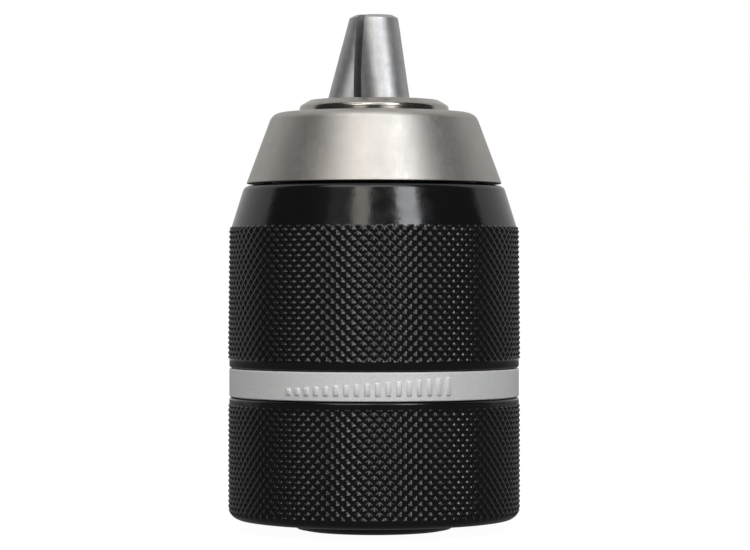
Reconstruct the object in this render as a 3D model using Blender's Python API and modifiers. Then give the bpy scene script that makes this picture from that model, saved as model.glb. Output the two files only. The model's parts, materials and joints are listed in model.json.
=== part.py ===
"""Keyless drill chuck, 1.5-13 mm, with a 1/2 in - 20 UNF socket at the rear.

Z runs along the chuck's axis: 0 is the rear face of the body and the nose is up. The jaws
are drawn at their inner stop. Numbers are millimetres and degrees; MM makes them metres.
"""

import math

import bpy
import bmesh
from mathutils import Matrix, Vector

MM = 0.001
SEG = 48  # facets round every turned part, all starting at +X, so nested parts keep their gaps

# Jaws and their bores
JAW_AZIMUTHS = (-63.5, 56.5, 176.5)
JAW_TILT = 15.0  # between a jaw's axis and the chuck's
JAW_APEX_Z = 75.0  # where the jaw axes meet the chuck's axis at rest
JAW_RADIUS = 3.5
JAW_BORE_RADIUS = 3.6
JAW_SEG = 32
JAW_REAR_Z = 36.6
JAW_TIP_Z = 75.6
JAW_EDGE_R = 0.75  # gripping edge to axis at rest, for a 1.5 mm shank
JAW_TRAVEL = 22.2  # along the jaw's own axis, out to 13 mm
WEDGE_RADIUS = 14.0  # of the hexagonal prism whose 120 degree corner is the jaw's inner edge

# Conical thread between the nut and the jaws
PITCH = 1.8  # along the cone
NUT_BOTTOM_Z, NUT_TOP_Z = 35.45, 40.6
NUT_OUTER_R = 16.9
NUT_FORM = ((0.00, 0.15), (0.36, 0.15), (0.50, -1.00), (0.86, -1.00))
JAW_FORM = ((0.06, 0.15), (0.30, 0.15), (0.44, -1.12), (0.92, -1.12))

# 1/2 in - 20 UNF socket
SPINDLE_PITCH = 1.27
SPINDLE_MINOR_R, SPINDLE_MAJOR_R = 5.68, 6.38
SPINDLE_DEPTH = 16.0
SPINDLE_FORM = ((0.0, -0.06), (0.5, SPINDLE_MAJOR_R - SPINDLE_MINOR_R))

BIT_BORE_R, BIT_BORE_FLOOR_Z = 6.75, 19.0
WEB_HOLE_R = 3.3

# Thrust bearing under the nut
BALLS = 16
BALL_RADIUS = 1.1
BALL_TRACK_R, BALL_Z = 16.8, 32.95
POCKET_RADIUS = 1.2

# Drive keys between the front sleeve and the nut's shell
KEYS = 4
KEY_WIDTH = 4.0
KEY_BOTTOM_Z, KEY_TOP_Z = 38.6, 42.2
KEY_INNER_R = 17.2
KEY_GAP = 0.25

TAN = math.tan(math.radians(JAW_TILT))
COS = math.cos(math.radians(JAW_TILT))
SIN = math.sin(math.radians(JAW_TILT))
CONE_OFFSET = JAW_RADIUS / COS


def clear_scene():
    for obj in list(bpy.data.objects):
        bpy.data.objects.remove(obj, do_unlink=True)
    for group in list(bpy.data.collections):
        bpy.data.collections.remove(group)


def collection(name):
    made = bpy.data.collections.new(name)
    bpy.context.scene.collection.children.link(made)
    return made


def material(name, colour, metallic, roughness):
    made = bpy.data.materials.new(name)
    made.use_nodes = True
    shader = made.node_tree.nodes["Principled BSDF"]
    shader.inputs["Base Color"].default_value = (*colour, 1.0)
    shader.inputs["Metallic"].default_value = metallic
    shader.inputs["Roughness"].default_value = roughness
    return made


def object_of(name, mesh, group):
    made = bpy.data.objects.new(name, mesh)
    group.objects.link(made)
    return made


def finish(obj, colour, metallic=1.0, roughness=0.35):
    """Gives a node its own material."""
    obj.data.materials.append(material(obj.name, colour, metallic, roughness))
    return obj


def mesh_from(name, bm):
    bmesh.ops.recalc_face_normals(bm, faces=bm.faces)
    mesh = bpy.data.meshes.new(name)
    bm.to_mesh(mesh)
    bm.free()
    return mesh


def turned(name, profile, group, ring=True):
    """A turned part. The profile starts at the top and runs down the outer side; a ring's closes on itself."""
    mesh = bpy.data.meshes.new(name)
    points = [(r * MM, 0.0, z * MM) for r, z in profile]
    edges = [(i, i + 1) for i in range(len(points) - 1)]
    if ring:
        edges.append((len(points) - 1, 0))
    mesh.from_pydata(points, edges, [])
    made = object_of(name, mesh, group)
    screw = made.modifiers.new("Turn", "SCREW")
    screw.axis = "Z"
    screw.angle = math.tau
    screw.steps = SEG
    screw.render_steps = SEG
    screw.use_merge_vertices = True
    screw.merge_threshold = 0.00001
    return made


def boolean(obj, other, operation="DIFFERENCE"):
    cut = obj.modifiers.new(other.name, "BOOLEAN")
    cut.operation = operation
    cut.object = other
    cut.solver = "EXACT"


def prism(name, radius, z_from, z_to, group, segments, at=(0.0, 0.0), turn=0.0):
    """An upright prism standing on z_from, its first corner turned to the given azimuth."""
    bm = bmesh.new()
    bmesh.ops.create_cone(
        bm,
        cap_ends=True,
        segments=segments,
        radius1=radius * MM,
        radius2=radius * MM,
        depth=(z_to - z_from) * MM,
    )
    first = max(bm.verts, key=lambda v: (round(v.co.x, 7), -abs(v.co.y)))
    start = math.atan2(first.co.y, first.co.x)
    bmesh.ops.rotate(
        bm, verts=bm.verts, cent=(0, 0, 0), matrix=Matrix.Rotation(math.radians(turn) - start, 3, "Z")
    )
    centre = Vector((at[0], at[1], (z_from + z_to) / 2)) * MM
    bmesh.ops.translate(bm, verts=bm.verts, vec=centre)
    return object_of(name, mesh_from(name, bm), group)


def block(name, size, centre, azimuth, group):
    """A box of (radial, tangential, axial) size whose centre is at (radius, z) on the azimuth."""
    bm = bmesh.new()
    bmesh.ops.create_cube(bm, size=1.0)
    bmesh.ops.scale(bm, verts=bm.verts, vec=Vector(size) * MM)
    bmesh.ops.translate(bm, verts=bm.verts, vec=Vector((centre[0], 0.0, centre[1])) * MM)
    bmesh.ops.rotate(
        bm, verts=bm.verts, cent=(0, 0, 0), matrix=Matrix.Rotation(math.radians(azimuth), 3, "Z")
    )
    return object_of(name, mesh_from(name, bm), group)


def inclined_frame(azimuth, z):
    """Local Z up the jaw's axis, local X away from the chuck's axis, origin on the jaw's axis at height z."""
    spin = Matrix.Rotation(math.radians(azimuth), 4, "Z")
    lean = Matrix.Rotation(-math.radians(JAW_TILT), 4, "Y")
    start = spin @ Vector(((JAW_APEX_Z - z) * TAN * MM, 0.0, z * MM))
    return Matrix.Translation(start) @ spin @ lean


def cylinder_on_axis(name, radius, length, azimuth, z, group):
    """A cylinder up a jaw's axis, starting at height z; its mesh is local, so its origin is on that axis."""
    bm = bmesh.new()
    bmesh.ops.create_cone(
        bm,
        cap_ends=True,
        segments=JAW_SEG,
        radius1=radius * MM,
        radius2=radius * MM,
        depth=length * MM,
        matrix=Matrix.Translation((0.0, 0.0, length * MM / 2)),
    )
    made = object_of(name, mesh_from(name, bm), group)
    made.matrix_world = inclined_frame(azimuth, z)
    return made


def helical_sector(name, azimuths, levels, form, pitch, point_at, back, group):
    """A solid with one threaded face. Each row of the grid follows one corner of the thread form
    round the helix, so a facet is always part of one flank, crest or root.

    levels are whole turns of the thread; point_at(s, azimuth, depth) gives a point, with s along
    the thread's generatrix; back is the depth of the plain face behind the thread.
    """
    rows = [(level + share, depth) for level in levels for share, depth in form]
    rows.append((levels[-1] + 1 + form[0][0], form[0][1]))
    rows.append((levels[-1] + 1 + form[1][0], form[1][1]))
    bm = bmesh.new()
    face, rear = [], []
    for turn, depth in rows:
        along = [pitch * (turn - phi / 360.0) for phi in azimuths]
        face.append([bm.verts.new(point_at(s, phi, depth)) for s, phi in zip(along, azimuths)])
        rear.append([bm.verts.new(point_at(s, phi, back)) for s, phi in zip(along, azimuths)])
    for grid in (face, rear):
        for upper, lower in zip(grid, grid[1:]):
            for i in range(len(azimuths) - 1):
                bm.faces.new((upper[i], upper[i + 1], lower[i + 1], lower[i]))
    for i in range(len(azimuths) - 1):
        for k in (0, -1):
            bm.faces.new((face[k][i], face[k][i + 1], rear[k][i + 1], rear[k][i]))
    for k in range(len(rows) - 1):
        for i in (0, -1):
            bm.faces.new((face[k][i], face[k + 1][i], rear[k + 1][i], rear[k][i]))
    return object_of(name, mesh_from(name, bm), group)


def on_nut_cone(s, phi, depth):
    """On the cone that touches the outer side of the three jaws."""
    r = s * SIN + CONE_OFFSET + depth
    angle = math.radians(phi)
    return Vector((r * math.cos(angle), r * math.sin(angle), JAW_APEX_Z - s * COS)) * MM


def on_jaw_back(azimuth):
    """The same face as the nut meets it: its curve stays that of the nut's middle all along the jaw."""
    middle = (JAW_APEX_Z - (NUT_BOTTOM_Z + NUT_TOP_Z) / 2) * TAN + CONE_OFFSET
    out = math.radians(azimuth)

    def point(s, phi, depth):
        shift = s * SIN + CONE_OFFSET - middle
        angle = math.radians(phi)
        x = shift * math.cos(out) + (middle + depth) * math.cos(angle)
        y = shift * math.sin(out) + (middle + depth) * math.sin(angle)
        return Vector((x, y, JAW_APEX_Z - s * COS)) * MM

    return point


def on_spindle(s, phi, depth):
    r = SPINDLE_MINOR_R + depth
    angle = math.radians(phi)
    return Vector((r * math.cos(angle), r * math.sin(angle), SPINDLE_DEPTH - s)) * MM


def spread(start, end, count):
    return [start + (end - start) * i / (count - 1) for i in range(count)]


def make_body(group, cutters):
    body = turned(
        "chuck_body",
        (
            (9.5, 62.95), (10.95, 62.1), (10.95, 52.6),
            (13.6, 52.6), (13.6, 51.65), (12.55, 51.65), (12.55, 50.7), (13.6, 50.7), (13.6, 43.5),
            (10.9, 43.5), (10.9, 34.6), (14.9, 34.6), (14.9, 30.6),
            (18.2, 30.6), (18.2, 24.2), (19.55, 24.2), (19.55, 20.5),
            (12.9, 20.5), (12.9, 1.3), (12.1, 0.45), (10.5, 0.0),
            (7.0, 0.0), (SPINDLE_MINOR_R, 1.0), (SPINDLE_MINOR_R, SPINDLE_DEPTH),
            (WEB_HOLE_R, SPINDLE_DEPTH), (WEB_HOLE_R, BIT_BORE_FLOOR_Z),
            (BIT_BORE_R, BIT_BORE_FLOOR_Z), (BIT_BORE_R, 62.95),
        ),
        group,
    )
    for i, azimuth in enumerate(JAW_AZIMUTHS, 1):
        boolean(body, cylinder_on_axis(f"cut_jaw_bore_{i}", JAW_BORE_RADIUS, 75.0, azimuth, 4.0, cutters))
    levels = list(range(1, math.ceil(SPINDLE_DEPTH / SPINDLE_PITCH) + 2))
    for i, start in enumerate((0.0, 180.0), 1):
        cutter = helical_sector(
            f"cut_socket_thread_{i}", spread(start - 1.0, start + 181.0, 13), levels, SPINDLE_FORM,
            SPINDLE_PITCH, on_spindle, -1.5, cutters,
        )
        boolean(body, cutter)
    return finish(body, (0.09, 0.09, 0.095), 1.0, 0.3)


def make_jaws(group, cutters):
    cap = turned(
        "keep_jaw_tips",
        (
            (0.0, JAW_TIP_Z + 0.02), (0.9, JAW_TIP_Z), (2.8, 75.45), (3.5, 75.08), (4.3, 74.5),
            (30.0, 70.0), (30.0, 30.0), (0.0, 30.0),
        ),
        cutters,
        ring=False,
    )
    first_s = (JAW_APEX_Z - NUT_TOP_Z) / COS - JAW_TRAVEL
    last_s = (JAW_APEX_Z - JAW_REAR_Z) / COS + 1.0
    for i, azimuth in enumerate(JAW_AZIMUTHS, 1):
        length = (JAW_TIP_Z + 2.0 - JAW_REAR_Z) / COS
        jaw = cylinder_on_axis(f"jaw_{i}", JAW_RADIUS, length, azimuth, JAW_REAR_Z, group)
        chamfer = jaw.modifiers.new("Rear chamfer", "BEVEL")
        chamfer.width = 0.8 * MM
        chamfer.segments = 1
        chamfer.limit_method = "ANGLE"
        chamfer.angle_limit = math.radians(60)
        out = math.radians(azimuth)
        reach = JAW_EDGE_R + WEDGE_RADIUS
        centre = (reach * math.cos(out), reach * math.sin(out))
        wedge = prism(
            f"keep_jaw_wedge_{i}", WEDGE_RADIUS, 30.0, 82.0, cutters, segments=6, at=centre, turn=azimuth
        )
        boolean(jaw, wedge, "INTERSECT")
        boolean(jaw, cap, "INTERSECT")
        shift = azimuth / 360.0
        levels = range(
            math.ceil(first_s / PITCH + shift - 1.0 - JAW_FORM[0][0]), math.floor(last_s / PITCH + shift) + 1
        )
        teeth = helical_sector(
            f"cut_jaw_teeth_{i}", spread(azimuth - 24.0, azimuth + 24.0, 9), list(levels), JAW_FORM,
            PITCH, on_jaw_back(azimuth), 3.0, cutters,
        )
        boolean(jaw, teeth)
        finish(jaw, (0.55, 0.55, 0.56), 1.0, 0.28)


def make_nut(group, cutters):
    blank = turned(
        "keep_nut_blank",
        (
            (16.4, NUT_TOP_Z), (NUT_OUTER_R, NUT_TOP_Z - 0.5), (NUT_OUTER_R, NUT_BOTTOM_Z + 0.5),
            (16.4, NUT_BOTTOM_Z), (8.0, NUT_BOTTOM_Z), (8.0, NUT_TOP_Z),
        ),
        cutters,
    )
    top = (JAW_APEX_Z - NUT_TOP_Z) / COS / PITCH
    bottom = (JAW_APEX_Z - NUT_BOTTOM_Z) / COS / PITCH
    for letter, start in (("a", 0.0), ("b", 180.0)):
        azimuths = spread(start + 0.8, start + 179.2, 25)
        levels = list(range(math.floor(top + start / 360.0) - 1, math.ceil(bottom + start / 360.0 + 0.5) + 1))
        half = helical_sector(
            f"nut_half_{letter}", azimuths, levels, NUT_FORM, PITCH, on_nut_cone, 9.0, group
        )
        boolean(half, blank, "INTERSECT")
        finish(half, (0.33, 0.32, 0.30), 1.0, 0.35)
    shell = turned(
        "nut_shell",
        ((17.0, 41.5), (18.2, 41.5), (18.2, 34.5), (17.8, 34.1), (15.2, 34.1), (15.2, 35.3), (17.0, 35.3)),
        group,
    )
    for i in range(KEYS):
        height = 45.0 - KEY_BOTTOM_Z + KEY_GAP
        centre = (17.6, KEY_BOTTOM_Z - KEY_GAP + height / 2)
        size = (3.0, KEY_WIDTH + 2 * KEY_GAP, height)
        boolean(shell, block(f"cut_key_notch_{i + 1}", size, centre, 45.0 + 360.0 * i / KEYS, cutters))
    finish(shell, (0.30, 0.30, 0.32), 1.0, 0.4)


def make_bearing(group, cutters):
    carrier = bpy.data.objects.new("bearing_axis", None)
    group.objects.link(carrier)
    washer = turned(
        "thrust_washer",
        ((15.65, 31.8), (18.0, 31.8), (18.0, 30.7), (15.65, 30.7)),
        group,
    )
    finish(washer, (0.42, 0.42, 0.43), 1.0, 0.25)
    cage = turned(
        "bearing_cage",
        ((15.65, 33.4), (18.05, 33.4), (18.05, 32.5), (15.65, 32.5)),
        group,
    )
    cage.parent = carrier
    bm = bmesh.new()
    bmesh.ops.create_uvsphere(bm, u_segments=12, v_segments=6, radius=BALL_RADIUS * MM)
    ball_mesh = mesh_from("bearing_ball", bm)
    for i in range(BALLS):
        angle = math.tau * (i + 0.5) / BALLS
        at = (BALL_TRACK_R * math.cos(angle), BALL_TRACK_R * math.sin(angle))
        boolean(cage, prism(f"cut_ball_pocket_{i + 1:02d}", POCKET_RADIUS, 31.5, 34.5, cutters, 12, at))
        ball = object_of(f"bearing_ball_{i + 1:02d}", ball_mesh, group)
        ball.location = Vector((*at, BALL_Z)) * MM
        ball.parent = carrier
        finish_ball(ball)
    finish(cage, (0.45, 0.33, 0.14), 1.0, 0.4)


def finish_ball(ball):
    """The balls share a mesh, so each one's material sits on the object."""
    if not ball.data.materials:
        ball.data.materials.append(None)
    ball.material_slots[0].link = "OBJECT"
    ball.material_slots[0].material = material(ball.name, (0.62, 0.62, 0.63), 1.0, 0.08)


def make_front(group, cutters):
    sleeve = turned(
        "front_sleeve",
        (
            (14.1, 50.4), (17.9, 50.4), (18.55, 50.2), (18.95, 49.7), (20.9, 44.45), (21.3, 44.3),
            (21.5, 43.9), (21.5, 25.4), (21.25, 25.2), (21.25, 24.1), (21.0, 23.85),
            (19.9, 23.85), (19.9, 43.4), (18.0, 48.6), (14.1, 48.6),
        ),
        group,
    )
    finish(sleeve, (0.012, 0.012, 0.013), 0.0, 0.18)
    liner = turned(
        "front_sleeve_liner",
        (
            (17.3, 46.2), (18.55, 46.2), (19.65, 43.2), (19.75, 42.8), (19.75, 24.3), (18.6, 24.3),
            (18.6, 42.6), (17.3, 44.6),
        ),
        group,
    )
    for i in range(KEYS):
        size = (19.2 - KEY_INNER_R, KEY_WIDTH, KEY_TOP_Z - KEY_BOTTOM_Z)
        centre = ((19.2 + KEY_INNER_R) / 2, (KEY_TOP_Z + KEY_BOTTOM_Z) / 2)
        key = block(f"add_drive_key_{i + 1}", size, centre, 45.0 + 360.0 * i / KEYS, cutters)
        boolean(liner, key, "UNION")
    finish(liner, (0.02, 0.02, 0.022), 0.0, 0.55)
    ring = turned(
        "sleeve_retaining_ring",
        ((15.0, 51.5), (15.0, 50.8), (12.65, 50.8), (12.65, 51.5)),
        group,
    )
    boolean(ring, block("cut_ring_gap", (8.0, 4.0, 3.0), (14.0, 51.15), 0.0, cutters))
    finish(ring, (0.22, 0.22, 0.23), 1.0, 0.35)
    cone = turned(
        "nose_cone",
        (
            (11.05, 61.1), (13.6, 61.1), (14.35, 60.9), (14.9, 60.4), (15.2, 59.75),
            (18.62, 50.85), (18.45, 50.7), (17.6, 50.7), (14.2, 59.4), (13.9, 59.6), (12.35, 59.6),
            (12.35, 53.2), (11.05, 53.2),
        ),
        group,
    )
    finish(cone, (0.60, 0.58, 0.56), 1.0, 0.38)


def make_rear(group):
    marking = turned(
        "marking_ring",
        ((20.4, 23.7), (21.1, 23.7), (21.25, 23.55), (21.25, 19.75), (21.1, 19.6), (20.4, 19.6)),
        group,
    )
    finish(marking, (0.66, 0.67, 0.69), 1.0, 0.5)
    sleeve = turned(
        "rear_sleeve",
        (
            (19.7, 23.5), (20.3, 23.5), (20.3, 19.45), (21.1, 19.45), (21.25, 19.3), (21.25, 18.7),
            (21.45, 18.5), (21.45, 3.6), (21.3, 2.8), (20.9, 2.15), (20.2, 1.7), (19.4, 1.55),
            (13.05, 1.55), (13.05, 3.3), (20.0, 3.3), (20.0, 19.0), (19.7, 19.3),
        ),
        group,
    )
    finish(sleeve, (0.012, 0.012, 0.013), 0.0, 0.25)


def main():
    clear_scene()
    scene = bpy.context.scene
    scene.unit_settings.system = "METRIC"
    scene.unit_settings.scale_length = 1.0
    parts = collection("drill_chuck")
    cutters = collection("cutters")
    make_body(parts, cutters)
    make_jaws(parts, cutters)
    make_nut(parts, cutters)
    make_bearing(parts, cutters)
    make_front(parts, cutters)
    make_rear(parts)
    for obj in cutters.objects:
        obj.hide_render = True
        obj.display_type = "WIRE"


main()
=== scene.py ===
"""Keyless drill chuck: the looks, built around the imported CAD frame.

Lengths are millimetres until MM makes them metres. Z is the chuck's axis, nose up.
"""

import json
import math

import bpy
import bmesh
import numpy as np
from mathutils import Matrix, Vector


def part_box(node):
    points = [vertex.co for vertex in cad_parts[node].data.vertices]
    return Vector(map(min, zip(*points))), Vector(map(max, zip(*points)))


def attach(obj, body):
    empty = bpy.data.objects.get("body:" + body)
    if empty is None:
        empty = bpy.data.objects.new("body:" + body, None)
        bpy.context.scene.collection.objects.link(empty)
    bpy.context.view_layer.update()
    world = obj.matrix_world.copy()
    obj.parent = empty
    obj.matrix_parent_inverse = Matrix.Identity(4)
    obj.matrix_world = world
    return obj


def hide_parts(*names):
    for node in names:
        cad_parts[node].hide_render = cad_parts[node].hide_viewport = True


MM = 0.001
FINE = 256  # columns round a plain turned piece
NOISE_LOW, NOISE_HIGH = 0.3, 0.7  # the part of a noise texture's range that is used

# The knurl: two sets of helical grooves that cross, on both sleeves
KNURL_COUNT = 88
KNURL_RISE = 1.476  # along the axis, from one crossing to the next
KNURL_STEPS = 8  # grid steps from one crossing to the next, both ways
KNURL_DEPTH = 0.38
KNURL_COLUMNS = KNURL_COUNT * KNURL_STEPS
# The band keeps one radius up to here over its lower end, and a round corner cuts into it
KNURL_EVEN_HEIGHT = 2.5
KNURL_SHARP_ANGLE = 50.0

# Jaws, as the CAD has them
JAW_AZIMUTHS = (-63.5, 56.5, 176.5)
JAW_TILT = math.radians(15.0)
JAW_APEX_Z = 75.0
JAW_RADIUS = 3.5
JAW_BORE_RADIUS = 3.6
JAW_SEGMENTS = 96
JAW_REAR_Z = 36.6
JAW_TIP_Z = 75.6
JAW_EDGE_R = 0.75
JAW_TRAVEL = 22.2
WEDGE_RADIUS = 14.0
TOOTH_HALF_ANGLE = 24.0
SOFT_EDGES_Z = 57.0  # the jaws' edges are softened above this
SOFT_EDGE_ANGLE = math.radians(25.0)
PITCH = 1.8
NUT_BOTTOM_Z, NUT_TOP_Z = 35.45, 40.6
# The thread's outline over one turn: (share of the pitch, depth)
JAW_FORM = ((0.06, 0.15), (0.30, 0.15), (0.44, -1.12), (0.92, -1.12))

# Spindle socket, 1/2 in - 20 UNF
SPINDLE_PITCH = 1.27
SPINDLE_MINOR_R, SPINDLE_MAJOR_R = 5.68, 6.38
SPINDLE_DEPTH = 16.0
SPINDLE_FORM = ((0.0, -0.06), (0.5, SPINDLE_MAJOR_R - SPINDLE_MINOR_R))

# Camera, from the photograph's perspective
CAMERA_AT = (0.13, -440.8, 37.35)
CAMERA_LENS = 144.0

# Softboxes: name, azimuth from the camera's side, elevation, width and height in metres, watts, colour
SOFTBOX_AIM = Vector((0.0, 0.0, 0.05))
SOFTBOX_DISTANCE = 0.62
SOFTBOXES = (
    ("cool_softbox", 31.0, 35.5, (0.17, 0.18), 0.74, (0.93, 0.97, 1.0)),
    ("warm_softbox", -11.5, 35.5, (0.13, 0.20), 0.31, (1.0, 0.95, 0.86)),
    ("left_softbox", -26.0, 19.0, (0.18, 0.16), 0.36, (1.0, 0.99, 0.97)),
    ("right_softbox", 29.0, 15.0, (0.16, 0.16), 0.30, (1.0, 1.0, 1.0)),
    ("front_left_softbox", -21.0, 9.0, (0.20, 0.10), 0.08, (1.0, 1.0, 1.0)),
    ("front_right_softbox", 22.0, 9.0, (0.20, 0.10), 0.12, (1.0, 1.0, 1.0)),
    ("front_softbox", 4.0, 23.0, (0.40, 0.10), 0.36, (1.0, 1.0, 1.0)),
)

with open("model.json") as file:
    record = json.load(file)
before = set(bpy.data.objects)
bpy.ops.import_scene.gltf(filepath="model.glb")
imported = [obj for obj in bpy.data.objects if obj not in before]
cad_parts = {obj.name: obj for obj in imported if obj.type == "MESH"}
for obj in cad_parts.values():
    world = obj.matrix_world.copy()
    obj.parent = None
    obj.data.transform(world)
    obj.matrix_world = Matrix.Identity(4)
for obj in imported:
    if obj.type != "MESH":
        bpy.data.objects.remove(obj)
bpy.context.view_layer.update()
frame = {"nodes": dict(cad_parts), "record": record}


# ---- Meshes -------------------------------------------------------------------------------


def new_object(name, mesh):
    made = bpy.data.objects.new(name, mesh)
    bpy.context.scene.collection.objects.link(made)
    return made


def rounded(corners, steps=6):
    """A closed outline of (radius, height, fillet) corners, with each fillet as an arc."""
    points = []
    for i, (r, z, fillet) in enumerate(corners):
        here = Vector((r, z))
        if fillet <= 0:
            points.append((r, z))
            continue
        back = Vector(corners[i - 1][:2]) - here
        ahead = Vector(corners[(i + 1) % len(corners)][:2]) - here
        back.normalize()
        ahead.normalize()
        half = back.angle(ahead) / 2
        reach = fillet / math.tan(half)
        centre = here + (back + ahead).normalized() * fillet / math.sin(half)
        start = here + back * reach - centre
        sweep = math.pi - 2 * half
        if back.x * ahead.y - back.y * ahead.x > 0:
            sweep = -sweep
        for k in range(steps + 1):
            turn = Matrix.Rotation(sweep * k / steps, 2)
            point = centre + turn @ start
            points.append((point.x, point.y))
    return points


def ring_mesh(name, radii, heights):
    """A closed turned mesh. radii is a grid of rows down the outline by columns round the axis."""
    rows, columns = radii.shape
    angles = np.arange(columns) * math.tau / columns
    points = np.empty((rows, columns, 3))
    points[..., 0] = radii * np.cos(angles)
    points[..., 1] = radii * np.sin(angles)
    points[..., 2] = heights[:, None]
    index = np.arange(rows * columns).reshape(rows, columns)
    down = np.roll(index, -1, axis=0)
    faces = np.stack(
        [index, down, np.roll(down, -1, axis=1), np.roll(index, -1, axis=1)], axis=-1
    )
    mesh = bpy.data.meshes.new(name)
    mesh.from_pydata((points * MM).reshape(-1, 3).tolist(), [], faces.reshape(-1, 4).tolist())
    return mesh


def smooth(obj, sharp_angle=35.0, weighted=True):
    obj.data.shade_smooth()
    obj.data.set_sharp_from_angle(angle=math.radians(sharp_angle))
    if weighted:
        normals = obj.modifiers.new("Normals", "WEIGHTED_NORMAL")
        normals.keep_sharp = True
    return obj


def turned(name, corners, columns=FINE, steps=6):
    outline = np.array(rounded(corners, steps))
    radii = np.repeat(outline[:, :1], columns, axis=1)
    return new_object(name, ring_mesh(name, radii, outline[:, 1]))


def groove_distance(position):
    """0 in a groove and 1 midway between two."""
    return 2 * np.abs(position - np.round(position))


def knurl_height(heights, phase):
    """Share of the knurl's depth at each (height, column): rounded pyramids between V grooves."""
    across = np.arange(KNURL_COLUMNS) / KNURL_STEPS
    along = (heights[:, None] - phase) / KNURL_RISE
    lowest = np.minimum(groove_distance(across + along), groove_distance(across - along))
    # A soft foot at the groove's bottom and a soft crown
    return np.clip(1.06 * (np.sqrt(lowest**2 + 0.006) - 0.077), 0.0, 1.0) ** 0.96


def knurled(name, upper, lower, knurl_top, knurl_bottom, crest, phase):
    """A turned piece with a knurled band between two plain outlines.

    upper and lower are the (radius, height) points before and after the band. crest gives the
    envelope's radius at a height. The grooves go KNURL_DEPTH below the band's own radius.
    """
    step = KNURL_RISE / KNURL_STEPS
    first = math.floor((knurl_top - phase) / step)
    last = math.ceil((knurl_bottom - phase) / step)
    heights = phase + step * np.arange(first, last - 1, -1)
    envelope = np.array([crest(z) for z in heights])
    band = np.array([crest(max(z, knurl_bottom + KNURL_EVEN_HEIGHT)) for z in heights])
    bumps = (band - KNURL_DEPTH)[:, None] + KNURL_DEPTH * knurl_height(heights, phase)
    bumps = np.minimum(bumps, envelope[:, None])
    plain_above = np.repeat(np.array(upper)[:, :1], KNURL_COLUMNS, axis=1)
    plain_below = np.repeat(np.array(lower)[:, :1], KNURL_COLUMNS, axis=1)
    radii = np.concatenate([plain_above, bumps, plain_below])
    levels = np.concatenate([np.array(upper)[:, 1], heights, np.array(lower)[:, 1]])
    return new_object(name, ring_mesh(name, radii, levels))


def from_bmesh(name, bm):
    bmesh.ops.recalc_face_normals(bm, faces=bm.faces)
    mesh = bpy.data.meshes.new(name)
    bm.to_mesh(mesh)
    bm.free()
    return mesh


def prism(name, radius, z_from, z_to, segments, at=(0.0, 0.0), turn=0.0):
    bm = bmesh.new()
    place = Matrix.Translation(Vector((at[0], at[1], (z_from + z_to) / 2)) * MM)
    start = Matrix.Rotation(math.radians(turn), 4, "Z")
    bmesh.ops.create_cone(
        bm, cap_ends=True, segments=segments, radius1=radius * MM, radius2=radius * MM,
        depth=(z_to - z_from) * MM, matrix=place @ start,
    )
    return new_object(name, from_bmesh(name, bm))


def jaw_axis_cylinder(name, radius, length, azimuth, z, segments):
    """A cylinder that starts at height z on a jaw's axis and runs up it."""
    bm = bmesh.new()
    spin = Matrix.Rotation(math.radians(azimuth), 4, "Z")
    lean = Matrix.Rotation(-JAW_TILT, 4, "Y")
    start = Vector(((JAW_APEX_Z - z) * math.tan(JAW_TILT), 0.0, z)) * MM
    centre = Matrix.Translation((0.0, 0.0, length * MM / 2))
    bmesh.ops.create_cone(
        bm, cap_ends=True, segments=segments, radius1=radius * MM, radius2=radius * MM,
        depth=length * MM, matrix=spin @ Matrix.Translation(start) @ lean @ centre,
    )
    return new_object(name, from_bmesh(name, bm))


def helical_sector(name, azimuths, levels, form, pitch, point_at, back):
    """A solid with one threaded face, its rows following the corners of the thread form."""
    rows = [(level + share, depth) for level in levels for share, depth in form]
    rows += [(levels[-1] + 1 + share, depth) for share, depth in form[:2]]
    bm = bmesh.new()
    grids = ([], [])
    for turn, depth in rows:
        along = [pitch * (turn - phi / 360.0) for phi in azimuths]
        for grid, offset in zip(grids, (depth, back)):
            grid.append([bm.verts.new(point_at(s, phi, offset)) for s, phi in zip(along, azimuths)])
    face, rear = grids
    for grid in grids:
        for upper, lower in zip(grid, grid[1:]):
            for i in range(len(azimuths) - 1):
                bm.faces.new((upper[i], upper[i + 1], lower[i + 1], lower[i]))
    for i in range(len(azimuths) - 1):
        for k in (0, -1):
            bm.faces.new((face[k][i], face[k][i + 1], rear[k][i + 1], rear[k][i]))
    for k in range(len(rows) - 1):
        for i in (0, -1):
            bm.faces.new((face[k][i], face[k + 1][i], rear[k + 1][i], rear[k][i]))
    return new_object(name, from_bmesh(name, bm))


def on_jaw_back(azimuth):
    """The face that the nut's thread sweeps along a jaw."""
    offset = JAW_RADIUS / math.cos(JAW_TILT)
    middle = (JAW_APEX_Z - (NUT_BOTTOM_Z + NUT_TOP_Z) / 2) * math.tan(JAW_TILT) + offset
    out = math.radians(azimuth)

    def point(s, phi, depth):
        shift = s * math.sin(JAW_TILT) + offset - middle
        angle = math.radians(phi)
        x = shift * math.cos(out) + (middle + depth) * math.cos(angle)
        y = shift * math.sin(out) + (middle + depth) * math.sin(angle)
        return Vector((x, y, JAW_APEX_Z - s * math.cos(JAW_TILT))) * MM

    return point


def on_spindle(s, phi, depth):
    r = SPINDLE_MINOR_R + depth
    angle = math.radians(phi)
    return Vector((r * math.cos(angle), r * math.sin(angle), SPINDLE_DEPTH - s)) * MM


def spread(start, end, count):
    return [start + (end - start) * i / (count - 1) for i in range(count)]


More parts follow.
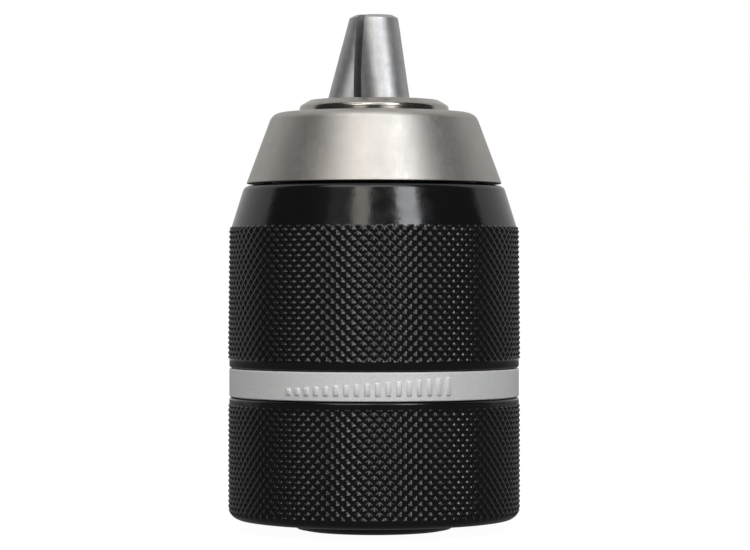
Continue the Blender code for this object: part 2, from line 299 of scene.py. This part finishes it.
def apply_booleans(obj, cuts):
    """Applies (operation, other) Booleans and removes the others, apart from those marked keep."""
    for operation, other in cuts:
        modifier = obj.modifiers.new(other.name, "BOOLEAN")
        modifier.operation = operation
        modifier.object = other
        modifier.solver = "EXACT"
    bpy.context.view_layer.update()
    graph = bpy.context.evaluated_depsgraph_get()
    made = bpy.data.meshes.new_from_object(obj.evaluated_get(graph))
    obj.modifiers.clear()
    old = obj.data
    obj.data = made
    bpy.data.meshes.remove(old)
    made.name = obj.name
    for _, other in cuts:
        if not other.get("keep"):
            bpy.data.objects.remove(other)


def place(piece, body, slot, *nodes):
    """Every new piece rides on its body and stands for its CAD nodes, which it hides. The slot
    argument is not used.
    """
    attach(piece, body)
    if nodes:
        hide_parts(*nodes)
    return piece


# ---- Materials ----------------------------------------------------------------------------


class Look:
    """A Principled material with the few nodes that these surfaces need. Sizes are millimetres."""

    def __init__(self, name, colour, metallic, roughness):
        self.material = bpy.data.materials.new(name)
        self.material.use_nodes = True
        self.tree = self.material.node_tree
        self.shader = self.tree.nodes["Principled BSDF"]
        self.set("Base Color", (*colour, 1.0))
        self.set("Metallic", metallic)
        self.set("Roughness", roughness)
        self.place = self.node("ShaderNodeTexCoord").outputs["Object"]

    def node(self, kind, **settings):
        made = self.tree.nodes.new(kind)
        for key, value in settings.items():
            setattr(made, key, value)
        return made

    def set(self, socket, value):
        self.shader.inputs[socket].default_value = value

    def link(self, source, target):
        self.tree.links.new(source, target)

    def noise(self, size, detail=2.0, stretch=(1.0, 1.0, 1.0), rough=0.5):
        """Noise with features of this size, stretched along the axes by these factors."""
        mapping = self.node("ShaderNodeMapping")
        mapping.inputs["Scale"].default_value = tuple(1.0 / k for k in stretch)
        self.link(self.place, mapping.inputs["Vector"])
        texture = self.node("ShaderNodeTexNoise")
        texture.inputs["Scale"].default_value = 1.0 / (size * MM)
        texture.inputs["Detail"].default_value = detail
        texture.inputs["Roughness"].default_value = rough
        self.link(mapping.outputs["Vector"], texture.inputs["Vector"])
        return texture.outputs["Fac"]

    def spread(self, value, low, high):
        """Maps a noise texture onto the range low to high."""
        made = self.node("ShaderNodeMapRange")
        numbers = {"From Min": NOISE_LOW, "From Max": NOISE_HIGH, "To Min": low, "To Max": high}
        for socket, number in numbers.items():
            made.inputs[socket].default_value = number
        self.link(value, made.inputs["Value"])
        return made.outputs["Result"]

    def mix(self, factor, first, second):
        made = self.node("ShaderNodeMix", data_type="RGBA")
        made.inputs["A"].default_value = (*first, 1.0)
        made.inputs["B"].default_value = (*second, 1.0)
        self.link(factor, made.inputs["Factor"])
        return made.outputs["Result"]

    def bump(self, height, depth, before=None):
        """Bump of this depth, laid over an earlier bump if there is one."""
        made = self.node("ShaderNodeBump")
        made.inputs["Strength"].default_value = 1.0
        made.inputs["Distance"].default_value = depth * MM
        self.link(height, made.inputs["Height"])
        if before is not None:
            self.link(before, made.inputs["Normal"])
        return made.outputs["Normal"]

    def wire(self, socket, value):
        self.link(value, self.shader.inputs[socket])


def black_gloss():
    look = Look("black_gloss_coating", (0.006, 0.006, 0.0065), 0.0, 0.2)
    look.wire("Roughness", look.spread(look.noise(1.6, 3.0), 0.12, 0.2))
    peel = look.bump(look.noise(0.8, 2.0), 0.012)
    look.wire("Normal", look.bump(look.noise(0.25, 2.0), 0.0012, before=peel))
    return look.material


def satin_nickel():
    look = Look("satin_nickel", (0.52, 0.49, 0.46), 1.0, 0.45)
    tone = look.mix(look.noise(2.5, 3.0), (0.46, 0.438, 0.412), (0.57, 0.545, 0.513))
    look.wire("Base Color", tone)
    look.wire("Roughness", look.spread(look.noise(0.6, 3.0), 0.42, 0.50))
    look.wire("Normal", look.bump(look.noise(0.16, 2.0), 0.006))
    return look.material


def ground_steel():
    look = Look("ground_steel", (0.52, 0.52, 0.53), 1.0, 0.3)
    streaks = look.noise(0.22, 3.0, stretch=(1.0, 1.0, 9.0))
    tone = look.mix(look.noise(1.3, 4.0), (0.40, 0.40, 0.405), (0.66, 0.66, 0.665))
    look.wire("Base Color", tone)
    look.wire("Roughness", look.spread(streaks, 0.44, 0.58))
    fine = look.bump(streaks, 0.006)
    look.wire("Normal", look.bump(look.noise(0.5, 3.0), 0.006, before=fine))
    return look.material


def turned_steel(name, dark, light, low, high):
    """Steel with fine lathe rings that follow radius and height, its roughness from low to high."""
    look = Look(name, light, 1.0, (low + high) / 2)
    look.wire("Base Color", look.mix(look.noise(1.1, 3.0), dark, light))
    split = look.node("ShaderNodeSeparateXYZ")
    look.link(look.place, split.inputs["Vector"])
    flat = look.node("ShaderNodeCombineXYZ")
    look.link(split.outputs["X"], flat.inputs["X"])
    look.link(split.outputs["Y"], flat.inputs["Y"])
    radius = look.node("ShaderNodeVectorMath", operation="LENGTH")
    look.link(flat.outputs["Vector"], radius.inputs[0])
    rings = look.node("ShaderNodeCombineXYZ")
    look.link(radius.outputs["Value"], rings.inputs["X"])
    look.link(split.outputs["Z"], rings.inputs["Y"])
    texture = look.node("ShaderNodeTexNoise")
    texture.inputs["Scale"].default_value = 1.0 / (0.12 * MM)
    texture.inputs["Detail"].default_value = 2.0
    look.link(rings.outputs["Vector"], texture.inputs["Vector"])
    look.wire("Roughness", look.spread(texture.outputs["Fac"], low, high))
    look.wire("Normal", look.bump(texture.outputs["Fac"], 0.004))
    return look.material


def blasted_aluminium():
    look = Look("blasted_aluminium", (0.80, 0.80, 0.80), 0.15, 0.5)
    grain = look.noise(0.22, 3.0, rough=0.6)
    tone = look.mix(look.spread(grain, 0.0, 1.0), (0.78, 0.78, 0.78), (0.94, 0.94, 0.945))
    look.wire("Base Color", tone)
    look.wire("Roughness", look.spread(look.noise(0.9, 2.0), 0.42, 0.56))
    look.wire("Normal", look.bump(grain, 0.02))
    return look.material


def plain_metal(name, dark, light, roughness):
    look = Look(name, light, 1.0, roughness)
    look.wire("Base Color", look.mix(look.noise(1.5, 3.0), dark, light))
    look.wire("Roughness", look.spread(look.noise(0.4, 3.0), roughness * 0.85, roughness * 1.2))
    look.wire("Normal", look.bump(look.noise(0.2, 2.0), 0.002))
    return look.material


def moulded_nylon():
    look = Look("liner_nylon", (0.02, 0.02, 0.022), 0.0, 0.5)
    look.wire("Roughness", look.spread(look.noise(0.5, 3.0), 0.42, 0.62))
    look.wire("Normal", look.bump(look.noise(0.3, 3.0), 0.01))
    return look.material


LOOKS = {
    "black_gloss_coating": black_gloss(),
    "satin_nickel": satin_nickel(),
    "ground_steel": ground_steel(),
    "nose_steel": turned_steel("nose_steel", (0.34, 0.32, 0.29), (0.52, 0.49, 0.45), 0.12, 0.24),
    "blackened_steel": turned_steel(
        "blackened_steel", (0.03, 0.03, 0.032), (0.06, 0.06, 0.062), 0.3, 0.45
    ),
    "blasted_aluminium": blasted_aluminium(),
    "nut_steel": plain_metal("nut_steel", (0.22, 0.21, 0.20), (0.36, 0.35, 0.34), 0.34),
    "bearing_steel": plain_metal("bearing_steel", (0.36, 0.36, 0.37), (0.48, 0.48, 0.49), 0.22),
    "ball_steel": plain_metal("ball_steel", (0.62, 0.62, 0.63), (0.70, 0.70, 0.71), 0.08),
    "cage_brass": plain_metal("cage_brass", (0.50, 0.36, 0.14), (0.66, 0.50, 0.22), 0.3),
    "spring_steel": plain_metal("spring_steel", (0.14, 0.14, 0.15), (0.24, 0.24, 0.25), 0.38),
    "liner_nylon": moulded_nylon(),
}


def dress(piece, *looks):
    piece.data.materials.clear()
    for look in looks:
        piece.data.materials.append(LOOKS[look])


# ---- Pieces -------------------------------------------------------------------------------


def make_front_sleeve():
    """Black front sleeve: a glossy taper above a knurled grip and a smooth foot."""
    low, high = (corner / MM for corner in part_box("front_sleeve"))
    top, bottom, wide = high.z, low.z, high.x
    taper = math.tan(math.radians(17.4))
    knurl_top, knurl_bottom = top - 6.1, bottom + 1.4
    shoulder = 20.9  # the taper's radius where it meets the knurl
    foot = wide - 0.25
    crown = 0.2  # the knurled band narrows by this much towards its top
    rim_bore, liner_bore, liner_top = 14.1, 19.9, 48.6
    outline = rounded(
        (
            (shoulder, knurl_top + 0.14, 0.0),
            (liner_bore + 0.05, bottom, 0.0),
            (liner_bore, 43.4, 0.0),
            (18.0, liner_top, 0.0),
            (rim_bore, liner_top, 0.0),
            (rim_bore, top, 0.3),
            (shoulder - taper * (top - knurl_top - 0.14), top, 1.0),
        ),
        steps=8,
    )
    # Close rows beside the knurl keep its shading off the plain faces
    upper = outline[2:] + [(shoulder - taper * 0.06, knurl_top + 0.2), outline[0]]
    lower = [(foot, knurl_bottom - 0.1), (foot, knurl_bottom - 0.16), (foot, bottom + 0.25)]
    lower += [(wide - 0.33, bottom + 0.08), (wide - 0.5, bottom), outline[1]]

    def crest(z):
        return wide - crown * (z - knurl_bottom) / (knurl_top - knurl_bottom)

    piece = knurled(
        "front_sleeve_shell", upper, lower, knurl_top, knurl_bottom, crest, knurl_bottom
    )
    smooth(piece, KNURL_SHARP_ANGLE, weighted=False)
    dress(piece, "black_gloss_coating")
    place(piece, "front_sleeve", "black_gloss_coating", "front_sleeve")


def make_rear_sleeve():
    """Black rear sleeve: a smooth neck, a knurled grip and a round lower corner."""
    low, high = (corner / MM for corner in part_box("rear_sleeve"))
    wide, bottom, spigot_top = high.x, low.z, high.z
    corner = 2.05
    neck_top, knurl_top = 19.45, 18.3
    knurl_bottom = bottom + 0.85
    neck = wide - 0.2
    floor_top, hub_bore, spigot = 3.3, 13.05, 20.3
    upper = [
        (20.0, floor_top), (20.0, 19.0), (19.7, 19.3), (19.7, spigot_top), (spigot, spigot_top),
        (spigot, neck_top), (wide - 0.45, neck_top), (wide - 0.28, neck_top - 0.07),
        (neck, neck_top - 0.25), (neck, neck_top - 0.31),
        (neck, knurl_top + 0.16), (neck, knurl_top + 0.1),
    ]

    def crest(z):
        below = max(0.0, bottom + corner - z)
        return wide - corner + math.sqrt(max(0.0, corner**2 - below**2))

    steps = 8
    plain_top = knurl_bottom - 0.06
    lower = []
    for k in range(1, steps + 1):
        height = plain_top - (plain_top - bottom) * k / steps
        lower.append((crest(height), height))
    lower += [(hub_bore + 0.2, bottom), (hub_bore, bottom + 0.2), (hub_bore, floor_top)]
    piece = knurled("rear_sleeve_shell", upper, lower, knurl_top, knurl_bottom, crest, knurl_top)
    smooth(piece, KNURL_SHARP_ANGLE, weighted=False)
    dress(piece, "black_gloss_coating")
    place(piece, "chuck_body", "black_gloss_coating", "rear_sleeve")


def make_nose_cone():
    """Satin nose cone: a thin hollow cone with a soft upper corner, pressed on the nose."""
    low, high = (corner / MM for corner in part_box("nose_cone"))
    top, bottom = high.z, low.z
    rim, nose_bore, hollow_bore, land_bottom = 18.75, 11.05, 12.35, 53.2
    slope = math.tan(math.radians(20.4))
    corners = (
        (rim - slope * (top - bottom), top, 1.8),
        (rim, bottom + 0.02, 0.12),
        (17.6, bottom, 0.1),
        (14.2, 59.4, 0.3),
        (hollow_bore, 59.6, 0.3),
        (hollow_bore, land_bottom, 0.1),
        (nose_bore, land_bottom, 0.1),
        (nose_bore, top, 0.12),
    )
    piece = smooth(turned("nose_cone_shell", corners, steps=8))
    dress(piece, "satin_nickel")
    place(piece, "chuck_body", "satin_nickel", "nose_cone")


def make_marking_ring():
    """Light band between the sleeves, with a raised scale of growing bars in place of lettering."""
    low, high = (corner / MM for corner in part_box("marking_ring"))
    wide, bore = high.x, 20.4
    corners = (
        (wide, high.z, 0.16), (wide, low.z, 0.16), (bore, low.z, 0.05), (bore, high.z, 0.05),
    )
    piece = smooth(turned("marking_band", corners, columns=384))
    dress(piece, "blasted_aluminium")
    place(piece, "chuck_body", "blasted_aluminium", "marking_ring")
    bars, scale_azimuth, scale_arc = 17, -92.6, 64.0
    shortest, tallest = 1.0, 2.6
    foot = (low.z + high.z) / 2 - tallest / 2
    bm = bmesh.new()
    for i in range(bars):
        share = i / (bars - 1)
        azimuth = math.radians(scale_azimuth + scale_arc * (share - 0.5))
        height = shortest + (tallest - shortest) * share
        size = Vector((0.66, 0.8, height)) * MM
        spot = Matrix.Rotation(azimuth, 4, "Z") @ Matrix.Translation(
            Vector((wide - 0.12, 0.0, foot + height / 2)) * MM
        )
        bmesh.ops.create_cube(bm, size=1.0, matrix=spot @ Matrix.Diagonal((*size, 1.0)))
    marks = new_object("marking_band_scale", from_bmesh("marking_band_scale", bm))
    bevel = marks.modifiers.new("Soft edges", "BEVEL")
    bevel.width = 0.19 * MM
    bevel.segments = 2
    marks.data.shade_smooth()
    dress(marks, "blasted_aluminium")
    place(marks, "chuck_body", "blasted_aluminium")


def make_body():
    """Body: bright turned nose, blackened behind, with jaw bores and the threaded socket."""
    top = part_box("chuck_body")[1].z / MM
    nose, nose_foot, barrel = 10.95, 52.6, 13.6
    ring_seat, nut_seat, washer_seat, flange, rim, hub = 12.55, 10.9, 14.9, 18.2, 19.55, 12.9
    bit_bore, web_top, screw_hole = 6.75, 19.0, 3.3
    corners = (
        (9.5, top, 0.15), (nose, top - 0.85, 0.6), (nose, nose_foot, 0.0),
        (barrel, nose_foot, 0.3), (barrel, 51.65, 0.0),
        (ring_seat, 51.65, 0.0), (ring_seat, 50.7, 0.0),
        (barrel, 50.7, 0.0), (barrel, 43.5, 0.2),
        (nut_seat, 43.5, 0.3), (nut_seat, 34.6, 0.3),
        (washer_seat, 34.6, 0.2), (washer_seat, 30.6, 0.2),
        (flange, 30.6, 0.2), (flange, 24.2, 0.2),
        (rim, 24.2, 0.2), (rim, 20.5, 0.3),
        (hub, 20.5, 0.3), (hub, 0.0, 2.7),
        (7.0, 0.0, 0.1), (SPINDLE_MINOR_R, 1.0, 0.0), (SPINDLE_MINOR_R, SPINDLE_DEPTH, 0.0),
        (screw_hole, SPINDLE_DEPTH, 0.0), (screw_hole, web_top, 0.0),
        (bit_bore, web_top, 0.3), (bit_bore, top, 0.2),
    )
    body = turned("chuck_body_turned", corners, columns=144, steps=4)
    cuts = []
    for i, azimuth in enumerate(JAW_AZIMUTHS, 1):
        bore = jaw_axis_cylinder(f"bore_{i}", JAW_BORE_RADIUS, 75.0, azimuth, 4.0, JAW_SEGMENTS)
        cuts.append(("DIFFERENCE", bore))
    levels = list(range(1, math.ceil(SPINDLE_DEPTH / SPINDLE_PITCH) + 2))
    # Two halves that overlap by a degree at each end
    for i, start in enumerate((0.0, 180.0), 1):
        azimuths = spread(start - 1.0, start + 181.0, 37)
        thread = helical_sector(
            f"socket_thread_{i}", azimuths, levels, SPINDLE_FORM, SPINDLE_PITCH, on_spindle, -1.5
        )
        cuts.append(("DIFFERENCE", thread))
    apply_booleans(body, cuts)
    dress(body, "nose_steel", "blackened_steel")
    for face in body.data.polygons:
        face.material_index = 0 if face.center.z > (nose_foot - 0.1) * MM else 1
    smooth(body, 30.0)
    place(body, "chuck_body", "blackened_steel", "chuck_body")


def make_jaws():
    """Ground jaws: inclined cylinders with a 120 degree gripping wedge, a coned tip and rear teeth."""
    outer, lowest, axis = 30.0, 30.0, 0.001
    outline = (
        (axis, JAW_TIP_Z + 0.02), (0.9, JAW_TIP_Z), (2.8, 75.45), (3.5, 75.08), (4.3, 74.5),
        (outer, 70.0), (outer, lowest), (axis, lowest),
    )
    tips = turned("tip_cone", [(r, z, 0.0) for r, z in outline], columns=JAW_SEGMENTS)
    tips["keep"] = True
    first_s = (JAW_APEX_Z - NUT_TOP_Z) / math.cos(JAW_TILT) - JAW_TRAVEL
    last_s = (JAW_APEX_Z - JAW_REAR_Z) / math.cos(JAW_TILT) + 1.0
    length = (JAW_TIP_Z + 2.0 - JAW_REAR_Z) / math.cos(JAW_TILT)
    reach = JAW_EDGE_R + WEDGE_RADIUS
    for i, azimuth in enumerate(JAW_AZIMUTHS, 1):
        jaw = jaw_axis_cylinder(
            f"jaw_{i}_ground", JAW_RADIUS, length, azimuth, JAW_REAR_Z, JAW_SEGMENTS
        )
        out = math.radians(azimuth)
        centre = (reach * math.cos(out), reach * math.sin(out))
        # create_cone puts a six-sided prism's first corner on +Y
        wedge = prism(f"wedge_{i}", WEDGE_RADIUS, lowest, 82.0, 6, centre, azimuth - 90.0)
        shift = azimuth / 360.0
        first = math.ceil(first_s / PITCH + shift - 1.0 - JAW_FORM[0][0])
        levels = list(range(first, math.floor(last_s / PITCH + shift) + 1))
        azimuths = spread(azimuth - TOOTH_HALF_ANGLE, azimuth + TOOTH_HALF_ANGLE, 25)
        teeth = helical_sector(
            f"teeth_{i}", azimuths, levels, JAW_FORM, PITCH, on_jaw_back(azimuth), 3.0
        )
        apply_booleans(jaw, [("INTERSECT", wedge), ("INTERSECT", tips), ("DIFFERENCE", teeth)])
        soften_tip(jaw)
        dress(jaw, "ground_steel")
        place(jaw, f"jaw_{i}", "ground_steel", f"jaw_{i}")
    bpy.data.objects.remove(tips)


def soften_tip(jaw):
    """A small bevel on the crisp edges at and above the nose, where they show."""
    bm = bmesh.new()
    bm.from_mesh(jaw.data)
    weight = bm.edges.layers.float.new("bevel_weight_edge")
    for edge in bm.edges:
        high = min(v.co.z for v in edge.verts) > SOFT_EDGES_Z * MM
        if high and len(edge.link_faces) == 2 and edge.calc_face_angle(0.0) > SOFT_EDGE_ANGLE:
            edge[weight] = 1.0
    bm.to_mesh(jaw.data)
    bm.free()
    bevel = jaw.modifiers.new("Soft edges", "BEVEL")
    bevel.limit_method = "WEIGHT"
    bevel.width = 0.13 * MM
    bevel.segments = 2
    smooth(jaw, 30.0)


def dress_cad_nodes():
    """The inner pieces keep their CAD meshes and take the finish of their slot."""
    slots = {row["node"]: row["material_slot"] for row in frame["record"]["subparts"]}
    for name, node in frame["nodes"].items():
        if node.hide_render:
            continue
        dress(node, slots[name])


# ---- Studio -------------------------------------------------------------------------------


def stage_material(name, shade, emission):
    made = bpy.data.materials.new(name)
    made.use_nodes = True
    shader = made.node_tree.nodes["Principled BSDF"]
    shader.inputs["Base Color"].default_value = (shade, shade, shade, 1.0)
    shader.inputs["Roughness"].default_value = 1.0
    shader.inputs["Specular IOR Level"].default_value = 0.0
    shader.inputs["Emission Color"].default_value = (1.0, 1.0, 1.0, 1.0)
    shader.inputs["Emission Strength"].default_value = emission
    return made


def backdrop(piece, material):
    """Seen by the camera, and neither reflected nor lighting anything."""
    piece.data.materials.append(material)
    piece.visible_glossy = False
    piece.visible_diffuse = False
    piece.visible_shadow = False


def reflector(piece, radiance):
    """Reflected by the chuck, and not seen by the camera."""
    piece.data.materials.append(stage_material(piece.name, 0.0, radiance))
    piece.visible_camera = False


def disc(name, radius, z):
    bm = bmesh.new()
    bmesh.ops.create_circle(bm, cap_ends=True, segments=96, radius=radius)
    made = new_object(name, from_bmesh(name, bm))
    made.location.z = z
    return made


def make_card(name, radius, azimuths, heights, radiance):
    """A curved card round the object, azimuth 0 being the camera's side. Lengths are metres."""
    steps = 48
    bm = bmesh.new()
    rows = []
    for z in heights:
        row = []
        for angle in spread(*azimuths, steps + 1):
            a = math.radians(angle)
            row.append(bm.verts.new((radius * math.sin(a), -radius * math.cos(a), z)))
        rows.append(row)
    bottom, top = rows
    for k in range(steps):
        bm.faces.new((bottom[k], bottom[k + 1], top[k + 1], top[k]))
    reflector(new_object(name, from_bmesh(name, bm)), radiance)


def softbox(name, azimuth, elevation, size, power, colour):
    """An area light that faces the chuck, azimuth 0 being the camera's side."""
    data = bpy.data.lights.new(name, "AREA")
    data.shape = "RECTANGLE"
    data.size, data.size_y = size
    data.energy = power
    data.color = colour
    lamp = bpy.data.objects.new(name, data)
    bpy.context.scene.collection.objects.link(lamp)
    a, e = math.radians(azimuth), math.radians(elevation)
    away = Vector((math.sin(a) * math.cos(e), -math.cos(a) * math.cos(e), math.sin(e)))
    lamp.location = SOFTBOX_AIM + away * SOFTBOX_DISTANCE
    lamp.rotation_mode = "QUATERNION"
    lamp.rotation_quaternion = away.to_track_quat("Z", "Y")


def make_studio():
    world = bpy.data.worlds.new("studio")
    bpy.context.scene.world = world
    world.use_nodes = True
    back = world.node_tree.nodes["Background"]
    back.inputs["Color"].default_value = (1.0, 1.0, 1.0, 1.0)
    back.inputs["Strength"].default_value = 0.6
    # The camera sees a white backdrop and a pale floor; the chuck sees dark cards and the lights
    bm = bmesh.new()
    bmesh.ops.create_icosphere(bm, subdivisions=4, radius=8.0)
    white = stage_material("white_backdrop", 0.0, 1.0)
    backdrop(new_object("backdrop", from_bmesh("backdrop", bm)), white)
    backdrop(disc("floor", 6.0, -0.0001), stage_material("pale_floor", 0.1, 0.97))
    reflector(disc("dark_floor_card", 0.7, -0.001), 0.13)
    make_card("dark_front_card", 0.75, (-103.0, 103.0), (-0.1, 1.7), 0.04)
    make_card("fill_card", 0.7, (-42.0, -20.0), (0.3, 0.75), 0.3)
    make_card("overhead_card", 0.72, (-60.0, 44.0), (0.8, 1.68), 2.7)
    for row in SOFTBOXES:
        softbox(*row)
    bpy.context.scene.view_settings.view_transform = "Standard"


def make_camera():
    data = bpy.data.cameras.new("camera")
    data.lens = CAMERA_LENS
    data.sensor_width = 36.0
    data.clip_start, data.clip_end = 0.01, 50.0
    camera = bpy.data.objects.new("camera", data)
    bpy.context.scene.collection.objects.link(camera)
    camera.location = Vector(CAMERA_AT) * MM
    camera.rotation_euler = (math.pi / 2, 0.0, 0.0)
    bpy.context.scene.camera = camera


make_camera()
make_studio()
make_front_sleeve()
make_rear_sleeve()
make_nose_cone()
make_marking_ring()
make_body()
make_jaws()
dress_cad_nodes()
